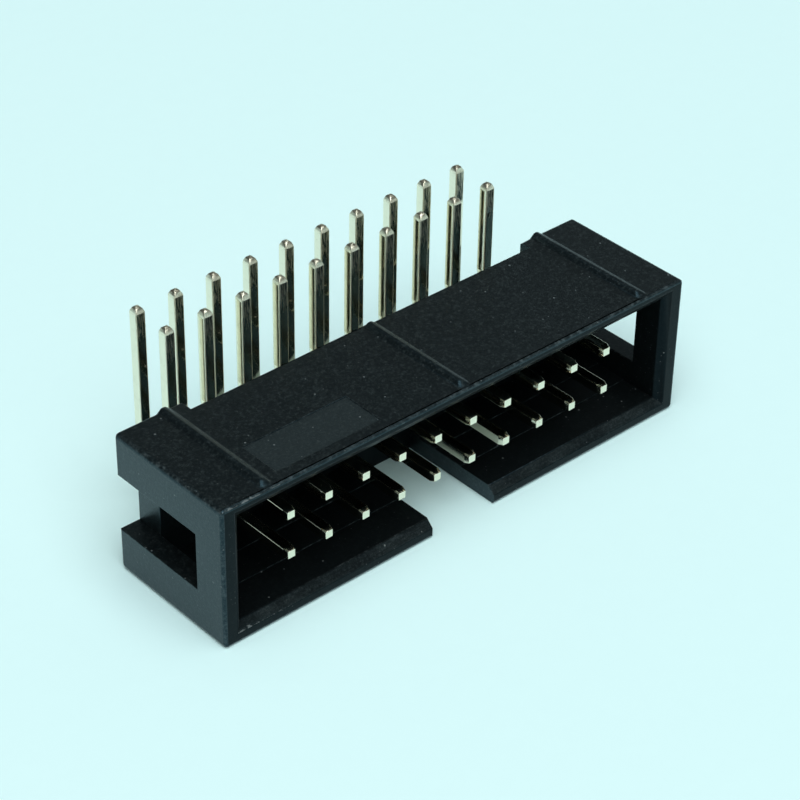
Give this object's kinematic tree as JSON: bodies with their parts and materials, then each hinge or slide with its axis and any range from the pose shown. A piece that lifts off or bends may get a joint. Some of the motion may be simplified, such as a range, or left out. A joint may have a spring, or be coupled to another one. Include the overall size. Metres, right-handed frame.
{
  "type": "idc box header",
  "caption": "Right-angle shrouded header for a flat-cable socket: a moulded box with a key slot around two rows of bent square contacts.",
  "frame": {"origin": "under the middle of the whole part, in the plane that the housing lies on", "axes": "+X along the rows, -Y out of the mouth, +Z towards the board, as the part lies in the picture, tails up"},
  "size_m": [0.033, 0.0138, 0.0121],
  "materials": {
    "housing_plastic": "black glass-filled moulding, matte, fine moulded texture",
    "contact_plating": "bright tin plating over brass wire"
  },
  "bodies": {
    "root": {"housing": "housing_plastic", "long_contact_01": "contact_plating", "short_contact_01": "contact_plating", "long_contact_02": "contact_plating", "short_contact_02": "contact_plating", "long_contact_03": "contact_plating", "short_contact_03": "contact_plating", "long_contact_04": "contact_plating", "short_contact_04": "contact_plating", "long_contact_05": "contact_plating", "short_contact_05": "contact_plating", "long_contact_06": "contact_plating", "short_contact_06": "contact_plating", "long_contact_07": "contact_plating", "short_contact_07": "contact_plating", "long_contact_08": "contact_plating", "short_contact_08": "contact_plating", "long_contact_09": "contact_plating", "short_contact_09": "contact_plating", "long_contact_10": "contact_plating", "short_contact_10": "contact_plating"}
  },
  "joints": []
}
